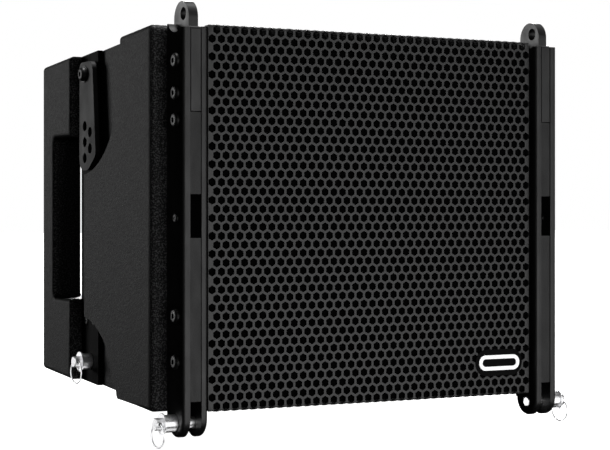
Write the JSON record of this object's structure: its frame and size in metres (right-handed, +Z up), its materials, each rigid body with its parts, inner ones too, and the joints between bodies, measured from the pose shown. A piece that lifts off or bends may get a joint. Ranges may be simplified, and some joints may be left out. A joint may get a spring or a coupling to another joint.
{
  "type": "line array speaker",
  "caption": "Compact tapered line array loudspeaker cabinet with hex-perforated front grille, side rigging plates, lift-up rear links, quick-release pins and side hand holds.",
  "frame": {"origin": "midpoint between the two front lug eyes, on their common axis", "axes": "+X to the right seen from the front, along the lug eyes; +Y to the back; +Z up"},
  "size_m": [0.4844, 0.3362, 0.4299],
  "materials": {
    "cabinet_coat": "textured black polyurea coating on birch plywood",
    "grille_paint": "black powder coat on perforated steel",
    "acoustic_foam": "open-cell black foam",
    "badge_metal": "pale satin",
    "driver_frame": "black powder coat",
    "soft_black": "matt black",
    "screw_black": "black zinc",
    "cone_paper": "coated paper",
    "spider_cloth": "varnished cloth",
    "coil_copper": "enamelled winding wire",
    "zinc_plate": "zinc plated",
    "ferrite": "sintered",
    "moulded_plastic": "fine moulded texture",
    "circuit_board": "green solder mask",
    "wadding": "felted fibre",
    "rig_steel": "satin black powder coat",
    "link_steel": "satin black powder coat",
    "pin_chrome": "bright zinc"
  },
  "bodies": {
    "cabinet": {"top_panel": "cabinet_coat", "bottom_panel": "cabinet_coat", "side_panel_left": "cabinet_coat", "side_panel_right": "cabinet_coat", "rear_panel": "cabinet_coat", "baffle": "cabinet_coat", "front_cheek_left": "cabinet_coat", "front_cheek_right": "cabinet_coat", "rear_corner_left": "cabinet_coat", "rear_corner_right": "cabinet_coat", "handle_cup_left": "cabinet_coat", "handle_cup_right": "cabinet_coat", "grille_rails": "cabinet_coat", "grille": "grille_paint", "grille_foam": "acoustic_foam", "badge": "badge_metal", "basket": "driver_frame", "driver_gasket": "soft_black", "driver_screws": "screw_black", "surround": "soft_black", "spider": "spider_cloth", "top_plate": "zinc_plate", "magnet_ring": "ferrite", "pole_piece": "zinc_plate", "hf_horn": "moulded_plastic", "compression_driver": "driver_frame", "port_tubes": "moulded_plastic", "crossover_board": "circuit_board", "crossover_parts": "coil_copper", "internal_leads": "soft_black", "damping_felt": "wadding", "connector_plate": "rig_steel", "speaker_sockets": "moulded_plastic", "connector_screws": "screw_black", "outer_plate_left": "rig_steel", "outer_plate_right": "rig_steel", "inner_plate_left": "rig_steel", "inner_plate_right": "rig_steel", "link_bar_left": "rig_steel", "link_bar_right": "rig_steel", "slot_spacers": "cabinet_coat", "rig_screws": "screw_black", "rear_plate_left": "rig_steel", "rear_plate_right": "rig_steel", "pivot_bolts": "screw_black", "rear_pin_sockets": "zinc_plate", "rear_plate_screws": "screw_black"},
    "rear_link_left": {"rear_link_left": "link_steel"},
    "front_pin_left": {"front_pin_left": "pin_chrome"},
    "rear_pin_left": {"rear_pin_left": "pin_chrome"},
    "front_ring_left": {"front_ring_left": "pin_chrome"},
    "rear_ring_left": {"rear_ring_left": "pin_chrome"},
    "rear_link_right": {"rear_link_right": "link_steel"},
    "front_pin_right": {"front_pin_right": "pin_chrome"},
    "rear_pin_right": {"rear_pin_right": "pin_chrome"},
    "front_ring_right": {"front_ring_right": "pin_chrome"},
    "rear_ring_right": {"rear_ring_right": "pin_chrome"},
    "cone_assembly": {"cone": "cone_paper", "voice_coil": "coil_copper"}
  },
  "joints": [
    {"name": "rear_link_left_swing", "type": "hinge", "parent": "cabinet", "child": "rear_link_left", "pos_m": [-0.2266, 0.2096, -0.0445], "axis": [-1, 0, 0], "range_deg": [0, 180]},
    {"name": "front_pin_left_pull", "type": "slide", "parent": "cabinet", "child": "front_pin_left", "axis": [-1, 0, 0], "range_m": [0, 0.028]},
    {"name": "rear_pin_left_pull", "type": "slide", "parent": "cabinet", "child": "rear_pin_left", "axis": [-1, 0, 0], "range_m": [0, 0.024]},
    {"name": "front_ring_left_swing", "type": "hinge", "parent": "front_pin_left", "child": "front_ring_left", "pos_m": [-0.23755, 0, -0.394], "axis": [0, 1, 0], "range_deg": [0, 85]},
    {"name": "rear_ring_left_swing", "type": "hinge", "parent": "rear_pin_left", "child": "rear_ring_left", "pos_m": [-0.2388, 0.2096, -0.3495], "axis": [0, 1, 0], "range_deg": [0, 85]},
    {"name": "rear_link_right_swing", "type": "hinge", "parent": "cabinet", "child": "rear_link_right", "pos_m": [0.2266, 0.2096, -0.0445], "axis": [-1, 0, 0], "range_deg": [0, 180]},
    {"name": "front_pin_right_pull", "type": "slide", "parent": "cabinet", "child": "front_pin_right", "axis": [1, 0, 0], "range_m": [0, 0.028]},
    {"name": "rear_pin_right_pull", "type": "slide", "parent": "cabinet", "child": "rear_pin_right", "axis": [1, 0, 0], "range_m": [0, 0.024]},
    {"name": "front_ring_right_swing", "type": "hinge", "parent": "front_pin_right", "child": "front_ring_right", "pos_m": [0.23755, 0, -0.394], "axis": [0, -1, 0], "range_deg": [0, 85]},
    {"name": "rear_ring_right_swing", "type": "hinge", "parent": "rear_pin_right", "child": "rear_ring_right", "pos_m": [0.2388, 0.2096, -0.3495], "axis": [0, -1, 0], "range_deg": [0, 85]},
    {"name": "cone_travel", "type": "slide", "parent": "cabinet", "child": "cone_assembly", "axis": [0, -1, 0], "range_m": [-0.006, 0.006], "stiffness_N_per_m": 4000, "deforming": ["surround", "spider"]}
  ]
}
